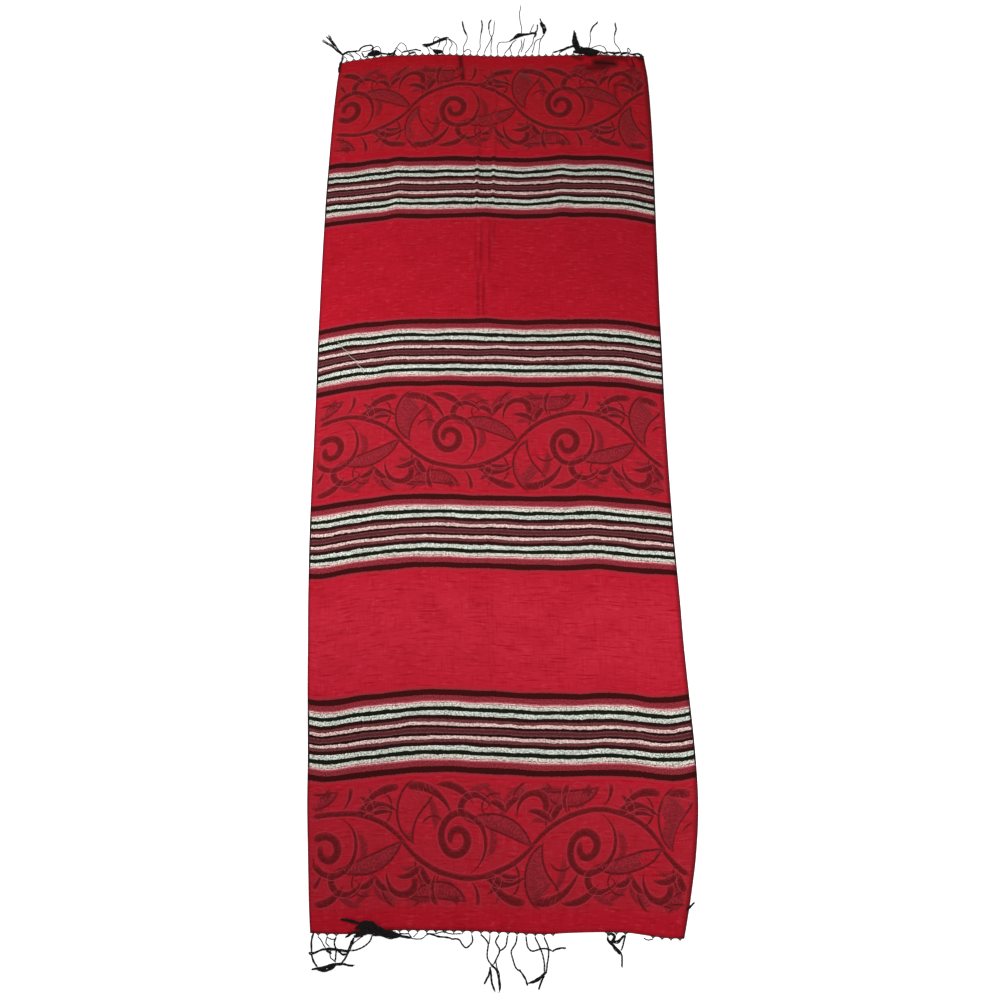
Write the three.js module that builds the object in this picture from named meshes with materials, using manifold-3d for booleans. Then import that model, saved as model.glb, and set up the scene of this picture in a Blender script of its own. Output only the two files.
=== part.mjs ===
// Woven shawl laid flat on a surface, as a standalone three.js scene graph.
//
// Units are millimetres. +Z is up, +Y runs along the warp to the far end and +X to the right.
// The origin is on the surface, under the middle of the cloth.
//
// The shawl is woven in one piece, so its cloth is one wall. Its grid is worked out from the loom's
// own directions, u across the width and s along the length, as the tables below lay them down.
// Each end has a fringe of loose warp threads. Their roots are fused into a narrow strip, which
// follows the end of the cloth and is parted from it by a small gap.
import * as THREE from "three";
import { mergeVertices } from "three/addons/utils/BufferGeometryUtils.js";
import Module from "manifold-3d";

// Driving dimensions.
const HALF_LENGTH = 900; // the cloth is 1800 mm long without its fringes
const WALL = 1.4; // thickness of the cloth
const SEAM_GAP = 0.3; // between the cloth's end and the strip that holds the fringe
const FLOOR_GAP = 0.3; // the fringe's threads end just above the surface

const RED = 0xb8222e;
const BLACK = 0x120d0e;

// How the long edges lie: s is the place along the length, left and right are x.
const EDGES = [
  { s: -900, left: -308, right: 338 },
  { s: -850, left: -313, right: 350 },
  { s: -770, left: -319, right: 366 },
  { s: -690, left: -325, right: 375 },
  { s: -600, left: -329, right: 375 },
  { s: -500, left: -335, right: 370 },
  { s: -400, left: -340, right: 365 },
  { s: -300, left: -345, right: 362 },
  { s: -150, left: -350, right: 356 },
  { s: 50, left: -352, right: 353 },
  { s: 300, left: -356, right: 353 },
  { s: 500, left: -357, right: 355 },
  { s: 700, left: -354, right: 357 },
  { s: 840, left: -348, right: 354 },
  { s: 900, left: -342, right: 347 },
];

// How the weft lies: the y of fifteen places across the width, for each of six picks.
const WEFT_U = [0, 0.035, 0.09, 0.15, 0.22, 0.32, 0.42, 0.52, 0.62, 0.7, 0.78, 0.85, 0.9, 0.95, 1];
const WEFT_S = [-900, -567.75, -188.25, 188.25, 567.75, 900];
const WEFT_Y = [
  [-907, -908, -909, -907, -903, -903, -904, -906, -909, -907, -906, -907, -911, -915, -916],
  [-586, -589, -586, -580, -575, -570, -572, -575, -578, -578, -577, -579, -584, -584, -578],
  [-223, -221, -214, -208, -202, -198, -200, -202, -204, -204, -202, -206, -210, -212, -217],
  [147, 154, 163, 168, 174, 176, 176, 175, 173, 174, 175, 174, 170, 164, 157],
  [538, 543, 547, 552, 558, 560, 562, 560, 558, 562, 563, 563, 560, 554, 545],
  [879, 886, 892, 899, 901, 903, 901, 898, 899, 900, 902, 903, 901, 899, 898],
];

// Creases and puffs that stand up from the surface, each along the warp from s0 to s1.
const RIDGES = [
  { u: 0.458, s0: 470, s1: 880, width: 15, height: 3.4 },
  { u: 0.508, s0: 470, s1: 880, width: 15, height: 3 },
  { u: 0.486, s0: 215, s1: 560, width: 72, height: 3 },
  { u: 0.487, s0: -650, s1: -140, width: 15, height: 2.4 },
  { u: 0.215, s0: 400, s1: 720, width: 60, height: 4 },
  { u: 0.715, s0: 420, s1: 740, width: 60, height: 4 },
  { u: 0.895, s0: -820, s1: -560, width: 64, height: 5 },
];
const RIDGE_RUN_OUT = 60; // each ridge fades into the flat over this length at both ends

// Grid of the wall: picks evenly apart, and places across it that every ridge adds its own to.
const PICKS = 30;
const STEP_U = 0.05;
const NARROW = 30; // a ridge narrower than this is cut finely
const FINE_SECTION = [-1, -0.5, 0, 0.5, 1]; // in half widths of the ridge
const WIDE_SECTION = [-1, -0.4, 0.4, 1];
const LEAST_STEP_U = 0.004; // places closer than this are one

// Fringe.
const STRIP_WIDTH = 2.4;
const STRIP_HEIGHT = 1.4;
const ROOT_OUT = 1.3; // a thread starts this far beyond the cloth's end, inside the strip
const COLLAR_OUT = 6; // and runs straight out to here
const THREAD_HEIGHT = 1;
const ROOT_WIDTH = 1.5;
const TIP_WIDTH = 0.9;
const PITCH = 2.1; // between threads of a bunch where they run side by side
const THREAD_STEPS = 5;
const FOLDED_STEPS = 12; // of a thread that turns back over the cloth
const ON_CLOTH_Z = WALL + SEAM_GAP; // underside of a thread that is folded back over the cloth

// A row is one bunch: count threads from root x0 to x1 draw together at a knot, and tails of them
// go on to the tip. A point is x, out: out is beyond the cloth's end, and below 0 on the cloth.
const FAR_BUNCHES = [
  { x0: -326, x1: -282, count: 4, knot: [-341, 14], tip: [-384, 58], tails: 3 },
  { x0: -268, x1: -224, count: 4, knot: [-276, 24], tip: [-312, 22], tails: 2 },
  { x0: -208, x1: -178, count: 3, knot: [-196, 30], tip: [-172, 14], tails: 1 },
  { x0: -150, x1: -78, count: 5, knot: [-118, 36], tip: [-97, 48], tails: 2 },
  { x0: -63, x1: -63, count: 1, knot: [-54, 50], tip: [-66, 96], tails: 1 },
  { x0: -45, x1: -29, count: 2, knot: [-25, 38], tip: [-24, 96], tails: 1 },
  { x0: -10, x1: 3, count: 2, knot: [-1, 46], tip: [1, 98], tails: 2 },
  { x0: 18, x1: 34, count: 2, knot: [40, 34], tip: [56, 46], tails: 1 },
  { x0: 50, x1: 66, count: 2, knot: [67, 54], tip: [66, 142], tails: 1 },
  { x0: 80, x1: 80, count: 1, knot: [84, 52], tip: [101, 64], tails: 1 },
  { x0: 94, x1: 110, count: 2, knot: [113, 50], tip: [112, 102], tails: 2 },
  { x0: 126, x1: 172, count: 4, knot: [184, 34], tip: [192, 66], tails: 2 },
  { x0: 188, x1: 218, count: 3, knot: [222, 30], tip: [244, 90], tails: 1 },
  { x0: 238, x1: 253, count: 2, knot: [266, -14], tip: [326, -17], tails: 2 },
  { x0: 270, x1: 300, count: 3, knot: [282, 48], tip: [285, 94], tails: 1 },
  { x0: 316, x1: 332, count: 2, knot: [322, 16], tip: [318, 30], tails: 1 },
];
const NEAR_BUNCHES = [
  { x0: -297, x1: -288, count: 2, knot: [-296, 52], tip: [-228, 56], tails: 2 },
  { x0: -272, x1: -212, count: 5, knot: [-256, 30], tip: [-282, 34], tails: 2 },
  { x0: -196, x1: -166, count: 3, knot: [-204, -8], tip: [-250, -16], tails: 2 },
  { x0: -150, x1: -118, count: 3, knot: [-136, 10], tip: [-138, 20], tails: 1 },
  { x0: -102, x1: -26, count: 5, knot: [-58, 14], tip: [-38, 25], tails: 2 },
  { x0: -13, x1: 3, count: 2, knot: [-4, 46], tip: [-4, 96], tails: 2 },
  { x0: 18, x1: 33, count: 2, knot: [15, 48], tip: [18, 96], tails: 1 },
  { x0: 49, x1: 49, count: 1, knot: [44, 52], tip: [66, 85], tails: 1 },
  { x0: 63, x1: 77, count: 2, knot: [82, 26], tip: [86, 92], tails: 1 },
  { x0: 91, x1: 105, count: 2, knot: [100, 22], tip: [134, 28], tails: 1 },
  { x0: 120, x1: 180, count: 4, knot: [152, 8], tip: [154, 16], tails: 1 },
  { x0: 200, x1: 231, count: 3, knot: [216, 14], tip: [229, 57], tails: 2 },
  { x0: 250, x1: 284, count: 3, knot: [270, 7], tip: [272, 15], tails: 1 },
  { x0: 300, x1: 332, count: 3, knot: [316, 7], tip: [318, 14], tails: 1 },
];

const wasm = await Module();
wasm.setup();
const { clamp, lerp, smoothstep } = THREE.MathUtils;

// A smooth curve through the values of a table, which doesn't run off past its ends.
function through(places, values, at) {
  const last = places.length - 1;
  let i = 0;
  while (i < last - 1 && at > places[i + 1]) i++;
  const span = places[i + 1] - places[i];
  const slope = (a, b) => (values[b] - values[a]) / (places[b] - places[a]);
  const out = slope(Math.max(i - 1, 0), i + 1) * span;
  const into = slope(i, Math.min(i + 2, last)) * span;
  const t = clamp((at - places[i]) / span, 0, 1);
  const rise = t * t * (3 - 2 * t);
  return lerp(values[i], values[i + 1], rise) + t * (1 - t) * ((1 - t) * out - t * into);
}

const EDGE_S = EDGES.map((row) => row.s);
const left = (s) => through(EDGE_S, EDGES.map((row) => row.left), s);
const right = (s) => through(EDGE_S, EDGES.map((row) => row.right), s);

// Where the cloth's point (u, s) lies on the surface.
const planX = (u, s) => lerp(left(s), right(s), u);
const planY = (u, s) => through(WEFT_S, WEFT_Y.map((row) => through(WEFT_U, row, u)), s);

// How high the cloth's underside is above the surface.
function lift(u, s) {
  const width = right(s) - left(s);
  let z = 0;
  for (const ridge of RIDGES) {
    const across = (Math.abs(u - ridge.u) * width) / (ridge.width / 2);
    if (across >= 1) continue;
    const rise = smoothstep(s, ridge.s0, ridge.s0 + RIDGE_RUN_OUT);
    const fall = smoothstep(s, ridge.s1 - RIDGE_RUN_OUT, ridge.s1);
    z = Math.max(z, ridge.height * rise * (1 - fall) * (0.5 + 0.5 * Math.cos(Math.PI * across)));
  }
  return z;
}

// The places across the cloth where its grid has a line along the warp.
function placesAcross() {
  const width = right(0) - left(0);
  const places = [];
  for (const ridge of RIDGES) {
    const section = ridge.width < NARROW ? FINE_SECTION : WIDE_SECTION;
    for (const share of section) places.push(ridge.u + (share * ridge.width) / 2 / width);
  }
  const clear = (u) => places.every((other) => Math.abs(other - u) > STEP_U / 3);
  for (let u = STEP_U; u < 1 - STEP_U / 2; u += STEP_U) if (clear(u)) places.push(u);
  places.push(0, 1);
  places.sort((a, b) => a - b);
  return places.filter((u, i) => i === 0 || u - places[i - 1] > LEAST_STEP_U);
}

// A closed geometry from rings of points, each ring going round the same way, capped at both ends.
function loft(rings) {
  const sides = rings[0].length;
  const index = [];
  for (let i = 0; i < rings.length - 1; i++) {
    for (let j = 0; j < sides; j++) {
      const a = i * sides + j;
      const b = i * sides + ((j + 1) % sides);
      index.push(a, b, b + sides, a, b + sides, a + sides);
    }
  }
  const end = (rings.length - 1) * sides;
  for (let j = 1; j < sides - 1; j++) {
    index.push(0, j + 1, j, end, end + j, end + j + 1);
  }
  const geometry = new THREE.BufferGeometry();
  geometry.setAttribute("position", new THREE.Float32BufferAttribute(rings.flat(2), 3));
  geometry.setIndex(index);
  return geometry;
}

// The cloth: a wall of even thickness, whose underside lies on the surface except under a ridge.
function clothGeometry(across) {
  const columns = across.length;
  const points = [];
  for (const top of [0, WALL]) {
    for (let i = 0; i <= PICKS; i++) {
      const s = lerp(-HALF_LENGTH, HALF_LENGTH, i / PICKS);
      for (const u of across) points.push(planX(u, s), planY(u, s), lift(u, s) + top);
    }
  }
  const at = (i, j, layer) => (layer * (PICKS + 1) + i) * columns + j;
  const index = [];
  const quad = (a, b, c, d) => index.push(a, b, c, a, c, d);
  for (let i = 0; i < PICKS; i++) {
    for (let j = 0; j < columns - 1; j++) {
      quad(at(i, j, 1), at(i, j + 1, 1), at(i + 1, j + 1, 1), at(i + 1, j, 1));
      quad(at(i, j, 0), at(i + 1, j, 0), at(i + 1, j + 1, 0), at(i, j + 1, 0));
    }
    quad(at(i, 0, 0), at(i, 0, 1), at(i + 1, 0, 1), at(i + 1, 0, 0));
    const last = columns - 1;
    quad(at(i, last, 0), at(i + 1, last, 0), at(i + 1, last, 1), at(i, last, 1));
  }
  for (let j = 0; j < columns - 1; j++) {
    quad(at(0, j, 0), at(0, j + 1, 0), at(0, j + 1, 1), at(0, j, 1));
    quad(at(PICKS, j, 0), at(PICKS, j, 1), at(PICKS, j + 1, 1), at(PICKS, j + 1, 0));
  }
  const geometry = new THREE.BufferGeometry();
  geometry.setAttribute("position", new THREE.Float32BufferAttribute(points, 3));
  geometry.setIndex(index);
  return geometry;
}

// A fringe: side is 1 at the far end and -1 at the near end.
function fringeGeometry(side, bunches, across) {
  const s = side * HALF_LENGTH;
  const endY = (x) => planY(clamp((x - left(s)) / (right(s) - left(s)), 0, 1), s);
  const place = ([x, out], z) => [x, endY(x) + side * out, z];
  const inner = SEAM_GAP;
  const outer = SEAM_GAP + STRIP_WIDTH;
  const section = [[inner, 0], [outer, 0], [outer, STRIP_HEIGHT], [inner, STRIP_HEIGHT]];
  const strip = across.map((u) => section.map(([out, z]) => place([planX(u, s), out], z)));
  const solids = [solidOf(strip, side)];
  for (const bunch of bunches) {
    for (let i = 0; i < bunch.count; i++) solids.push(solidOf(thread(bunch, i, place), side));
  }
  const mesh = wasm.Manifold.union(solids).getMesh();
  const geometry = new THREE.BufferGeometry();
  geometry.setAttribute("position", new THREE.BufferAttribute(mesh.vertProperties, 3));
  geometry.setIndex(new THREE.BufferAttribute(mesh.triVerts, 1));
  return geometry;
}

// The rings of one thread of a bunch, from its root in the strip to its end.
function thread(bunch, i, place) {
  const [kx, kOut] = bunch.knot;
  const [tx, tOut] = bunch.tip;
  const run = Math.hypot(tx - kx, tOut - kOut);
  const aside = [(tOut - kOut) / run, -(tx - kx) / run]; // the leftmost root stays leftmost
  const from = (i - (bunch.count - 1) / 2) * PITCH;
  const root = bunch.count > 1 ? lerp(bunch.x0, bunch.x1, i / (bunch.count - 1)) : bunch.x0;
  const folded = kOut < 0;
  const free = folded ? ON_CLOTH_Z : FLOOR_GAP;
  const beside = (x, out) => new THREE.Vector3(x + aside[0] * from, out + aside[1] * from, free);
  const points = [
    new THREE.Vector3(root, ROOT_OUT, FLOOR_GAP),
    new THREE.Vector3(root, COLLAR_OUT, free),
    beside(kx, kOut),
  ];
  if (i < bunch.tails) points.push(beside(tx, tOut));
  const curve = new THREE.CatmullRomCurve3(points, false, "centripetal");
  const steps = folded ? FOLDED_STEPS : THREAD_STEPS;
  const rings = [];
  for (let k = 0; k <= steps; k++) {
    const at = curve.getPointAt(k / steps);
    const along = curve.getTangentAt(k / steps);
    const flat = Math.hypot(along.x, along.y);
    const half = lerp(ROOT_WIDTH, TIP_WIDTH, k / steps) / 2;
    const sideways = [(along.y / flat) * half, (-along.x / flat) * half];
    rings.push([
      place([at.x - sideways[0], at.y - sideways[1]], at.z),
      place([at.x, at.y], at.z + THREAD_HEIGHT),
      place([at.x + sideways[0], at.y + sideways[1]], at.z),
    ]);
  }
  return rings;
}

// A solid from the rings of a strip or thread. At the near end the rings are mirrored, so their
// faces are turned round.
function solidOf(rings, side) {
  const geometry = mergeVertices(loft(rings));
  const vertProperties = geometry.attributes.position.array;
  const triVerts = new Uint32Array(geometry.index.array);
  if (side < 0) {
    for (let i = 0; i < triVerts.length; i += 3) triVerts.subarray(i, i + 3).reverse();
  }
  return new wasm.Manifold(new wasm.Mesh({ numProp: 3, vertProperties, triVerts }));
}

const across = placesAcross();
const red = () => new THREE.MeshStandardMaterial({ color: RED, roughness: 0.85, metalness: 0 });
const black = () => new THREE.MeshStandardMaterial({ color: BLACK, roughness: 0.8, metalness: 0 });

const shawl = new THREE.Group();
for (const [name, geometry, material] of [
  ["cloth", clothGeometry(across), red()],
  ["fringe_top", fringeGeometry(1, FAR_BUNCHES, across), black()],
  ["fringe_bottom", fringeGeometry(-1, NEAR_BUNCHES, across), black()],
]) {
  const mesh = new THREE.Mesh(geometry, material);
  mesh.name = name;
  shawl.add(mesh);
}

export default shawl;
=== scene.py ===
"""A woven shawl lying flat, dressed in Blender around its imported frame.

Lengths in the tables are millimetres in the frame's own axes: +X across to the right, +Y along the
warp to the far end, +Z up, with the origin on the floor under the middle of the cloth. `u` is a
place across the width from 0 to 1, and `s` a place along the flat length.
"""

import math

import bpy
import numpy as np
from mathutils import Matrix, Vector


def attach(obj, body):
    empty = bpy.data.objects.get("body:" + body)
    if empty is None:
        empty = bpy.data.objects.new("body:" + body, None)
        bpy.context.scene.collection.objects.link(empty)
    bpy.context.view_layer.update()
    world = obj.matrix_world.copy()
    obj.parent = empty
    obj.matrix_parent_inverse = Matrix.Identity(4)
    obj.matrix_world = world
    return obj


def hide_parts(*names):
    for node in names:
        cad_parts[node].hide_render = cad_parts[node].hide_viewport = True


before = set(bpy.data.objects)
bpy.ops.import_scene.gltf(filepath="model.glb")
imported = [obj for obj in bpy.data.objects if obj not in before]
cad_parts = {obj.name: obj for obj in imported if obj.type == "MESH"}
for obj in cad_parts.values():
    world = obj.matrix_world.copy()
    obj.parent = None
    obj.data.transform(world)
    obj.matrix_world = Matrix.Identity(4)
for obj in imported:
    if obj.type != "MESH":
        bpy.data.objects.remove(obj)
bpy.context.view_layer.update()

MM = 0.001
FLAT_WIDTH = 700.0
FLAT_LENGTH = 1800.0
HALF_LENGTH = FLAT_LENGTH / 2

# ---- how the cloth lies

EDGES = np.array([  # s, left x, right x
    (-900, -308, 338), (-850, -313, 350), (-770, -319, 366), (-690, -325, 375), (-600, -329, 375),
    (-500, -335, 370), (-400, -340, 365), (-300, -345, 362), (-150, -350, 356), (50, -352, 353),
    (300, -356, 353), (500, -357, 355), (700, -354, 357), (840, -348, 354), (900, -342, 347),
], float)

# The y of fifteen places across the width, for each of six picks of weft.
WEFT_U = (0, 0.035, 0.09, 0.15, 0.22, 0.32, 0.42, 0.52, 0.62, 0.7, 0.78, 0.85, 0.9, 0.95, 1)
WEFT_S = (-900, -567.75, -188.25, 188.25, 567.75, 900)
WEFT_Y = np.array([
    (-907, -908, -909, -907, -903, -903, -904, -906, -909, -907, -906, -907, -911, -915, -916),
    (-587, -590, -587, -581, -576, -571, -573, -576, -579, -579, -578, -580, -585, -585, -579),
    (-224, -222, -215, -209, -203, -199, -201, -203, -205, -205, -203, -207, -211, -213, -218),
    (144, 151, 160, 165, 171, 173, 173, 172, 170, 171, 172, 171, 167, 161, 154),
    (536, 541, 545, 550, 556, 558, 560, 558, 556, 560, 561, 561, 558, 552, 543),
    (879, 886, 892, 899, 901, 903, 901, 898, 899, 900, 902, 903, 901, 899, 898),
], float)

# Creases and puffs along the warp: u, s where it starts and ends, width, height, and how far it
# pushes the weft along the cloth.
RIDGES = (
    (0.458, 470, 880, 15, 3.4, 0.7),
    (0.508, 470, 880, 15, 3, 0.6),
    (0.486, 215, 560, 72, 4, 0),
    (0.487, -650, -140, 15, 2.4, 0.4),
    (0.215, 400, 720, 60, 4, 0),
    (0.715, 420, 740, 60, 4, 0),
    (0.895, -820, -560, 64, 5, 0),
)
# Narrow folds that dip into a puff: u, s where it starts and ends, width, and how much painted shade
# darkens it.
GROOVES = (
    (0.4575, 372, 480, 10, 0.16),
    (0.466, 262, 372, 10, 0.3),
    (0.4745, 368, 480, 10, 0.24),
    (0.4827, 262, 360, 10, 0.28),
    (0.501, 366, 480, 10, 0.2),
    (0.5135, 428, 480, 8, 0.18),
)
# Short soft folds near the far end: u and s of both ends, width and height.
END_FOLDS = (
    (0.795, 886, 0.85, 885, 22, 2.2),
    (0.885, 862, 0.955, 866, 26, 3.0),
    (0.8, 845, 0.87, 850, 24, 2.2),
    (0.381, 894, 0.392, 848, 14, 1.8),
    (0.406, 890, 0.417, 846, 14, 1.8),
)
# Painted shade in the hollows beside those: u and s of both ends, width, and how much each darkens.
END_PAINTED_SHADES = (
    (0.784, 862, 0.862, 864, 32, 0.75),
    (0.838, 878, 0.896, 876, 30, 1.0),
    (0.862, 890, 0.94, 893, 24, 0.7),
    (0.768, 897, 0.79, 888, 22, 0.7),
    (0.772, 852, 0.79, 862, 20, 0.5),
    (0.94, 885, 0.953, 862, 12, 0.4),
    (0.955, 872, 0.974, 848, 13, 0.6),
    (0.974, 848, 0.935, 842, 14, 0.6),
    (0.935, 842, 0.895, 822, 14, 0.5),
    (0.893, 822, 0.889, 785, 14, 0.45),
    (0.972, 900, 0.985, 893, 20, 0.8),
    (0.393, 900, 0.405, 838, 17, 0.85),
)
RIDGE_RUN_OUT = 60
NARROW = 30  # width under which a ridge or groove needs a finer grid
STILL = 40.0  # how far from its ends the cloth lies without ripples
WEFT_RIPPLE, WEFT_WAVE = 0.7, 70  # how far the picks wander, and over what length
PUFF, PUFF_WAVE = 0.9, 120  # how high the cloth lifts in between, and over what length


def through(places, values, at):
    """A smooth curve through a table's values, which may have a column for each point."""
    places = np.asarray(places, float)
    at = np.asarray(at, float)
    values = np.asarray(values, float)
    if values.ndim == 1:
        values = np.repeat(values[:, None], len(at), axis=1)
    last = len(places) - 1
    i = np.clip(np.searchsorted(places, at) - 1, 0, last - 1)
    column = np.arange(len(at))

    def slope(a, b):
        return (values[b, column] - values[a, column]) / (places[b] - places[a])

    span = places[i + 1] - places[i]
    leaving = slope(np.maximum(i - 1, 0), i + 1) * span
    arriving = slope(i, np.minimum(i + 2, last)) * span
    t = np.clip((at - places[i]) / span, 0, 1)
    rise = t * t * (3 - 2 * t)
    between = values[i, column] * (1 - rise) + values[i + 1, column] * rise
    return between + t * (1 - t) * ((1 - t) * leaving - t * arriving)


def selvedges(s):
    """The x of the left and of the right selvedge at s."""
    return [through(EDGES[:, 0], EDGES[:, k], s) for k in (1, 2)]


def unit(vectors):
    return vectors / np.linalg.norm(vectors, axis=1)[:, None]


def smoothstep(x, low, high):
    t = np.clip((x - low) / (high - low), 0, 1)
    return t * t * (3 - 2 * t)


def ripple(x, y, wavelength, seed, waves=7):
    """Smooth unevenness between about -1 and 1, the same on each run."""
    rng = np.random.default_rng(seed)
    total = np.zeros_like(x)
    for _ in range(waves):
        turn = rng.uniform(0, math.tau)
        k = math.tau / (wavelength * rng.uniform(0.7, 1.6))
        total += np.sin(k * (x * math.cos(turn) + y * math.sin(turn)) + rng.uniform(0, math.tau))
    return total / math.sqrt(waves)


def crest(s, apart, s0, s1, width):
    """How much of a ridge or groove there is, from 0 to 1, apart mm from its line."""
    across = np.clip(np.abs(apart) / (width / 2), 0, 1)
    run_out = min(RIDGE_RUN_OUT, (s1 - s0) / 3)
    ends = smoothstep(s, s0, s0 + run_out) * (1 - smoothstep(s, s1 - run_out, s1))
    return (0.5 + 0.5 * np.cos(math.pi * across)) * ends


def near_fold(u, s, ends, width):
    """How near the cloth's points are to a short straight fold, from 0 to 1 on its line."""
    u0, s0, u1, s1 = ends
    way = np.array([(u1 - u0) * FLAT_WIDTH, s1 - s0])
    from_start = np.stack([(u - u0) * FLAT_WIDTH, s - s0], -1)
    share = np.clip(from_start @ way / (way @ way), 0, 1)
    apart = np.linalg.norm(from_start - share[..., None] * way, axis=-1)
    return 0.5 + 0.5 * np.cos(math.pi * np.clip(apart / (width / 2), 0, 1))


def lie(u, s, height=0.0):
    """World places in metres of the cloth's points (u, s), height mm above its underside."""
    u, s, height = np.broadcast_arrays(np.asarray(u, float), np.asarray(s, float), height)
    shape = u.shape
    u, s, height = u.ravel(), s.ravel(), height.ravel()
    left, right = selvedges(s)
    inside = np.clip(u, 0, 1)
    x = left + (right - left) * inside + (u - inside) * FLAT_WIDTH
    rows = np.array([through(WEFT_U, row, inside) for row in WEFT_Y])
    held = np.clip(s, -HALF_LENGTH, HALF_LENGTH)
    y = through(WEFT_S, rows, held) + (s - held)
    z = np.zeros_like(x)
    for ridge_u, s0, s1, width, tall, push in RIDGES:
        share = crest(s, (u - ridge_u) * (right - left), s0, s1, width)
        z = np.maximum(z, tall * share)
        y += push * share
    for *ends, width, tall in END_FOLDS:
        z = np.maximum(z, tall * near_fold(u, s, ends, width))
    for groove_u, s0, s1, width, _ in GROOVES:
        z *= 1 - 0.9 * crest(s, (u - groove_u) * (right - left), s0, s1, width)
    loose = 1 - smoothstep(np.abs(s), HALF_LENGTH - STILL, HALF_LENGTH)
    y += WEFT_RIPPLE * ripple(u * FLAT_WIDTH, s, WEFT_WAVE, seed=5) * loose
    z += np.maximum(0, PUFF * ripple(u * FLAT_WIDTH * 1.6, s * 0.7, PUFF_WAVE, seed=8)) * loose
    points = np.stack([x, y, z + height], 1) * MM
    return points.reshape(*shape, 3)


# ---- mesh helpers


def mesh_object(name, vertices, faces):
    mesh = bpy.data.meshes.new(name)
    mesh.from_pydata([tuple(v) for v in np.asarray(vertices).reshape(-1, 3)], [], faces)
    mesh.polygons.foreach_set("use_smooth", [True] * len(mesh.polygons))
    mesh.validate()
    piece = bpy.data.objects.new(name, mesh)
    bpy.context.scene.collection.objects.link(piece)
    return piece


def tube_faces(rings, sides, start, turned=False):
    """Faces of a closed tube, whose rings of vertices follow each other from start."""
    faces = []
    for i in range(rings - 1):
        for j in range(sides):
            k = (j + 1) % sides
            row, after = start + i * sides, start + (i + 1) * sides
            faces.append((row + j, row + k, after + k, after + j))
    faces.append(tuple(start + j for j in reversed(range(sides))))
    faces.append(tuple(start + (rings - 1) * sides + j for j in range(sides)))
    return [face[::-1] for face in faces] if turned else faces


def set_uv(piece, name, per_vertex):
    """A UV map from one pair of numbers for each vertex."""
    mesh = piece.data
    layer = mesh.uv_layers.new(name=name, do_init=False)
    loops = np.empty(len(mesh.loops), np.int32)
    mesh.loops.foreach_get("vertex_index", loops)
    layer.uv.foreach_set("vector", np.asarray(per_vertex, np.float32)[loops].ravel())


def flat_map(across, s):
    """The "flat" UV map, in metres from the middle of the cloth."""
    return np.stack([(across - FLAT_WIDTH / 2) * MM, s * MM], -1)


def dress(piece, materials, node=None):
    """Gives a piece its materials and its place in the frame."""
    for material in materials:
        piece.data.materials.append(material)
    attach(piece, "root")
    if node:
        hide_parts(node)
    return piece


class Swept:
    """Closed tubes gathered into one mesh, with the UV maps that they name."""

    def __init__(self):
        self.points, self.faces, self.maps = [], [], {}

    def add(self, rings, turned=False, **maps):
        """A tube through rings of points in metres; each map has a pair of numbers for a point."""
        start = sum(len(p) for p in self.points)
        self.points.append(rings.reshape(-1, 3))
        self.faces += tube_faces(*rings.shape[:2], start, turned)
        for name, pairs in maps.items():
            self.maps.setdefault(name, []).append(pairs.reshape(-1, 2))

    def piece(self, name, materials, slot, node=None):
        piece = mesh_object(name, np.concatenate(self.points), self.faces)
        for uv_map, pairs in self.maps.items():
            set_uv(piece, uv_map, np.concatenate(pairs))
        return dress(piece, materials, node)


# ---- node helpers


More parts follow.
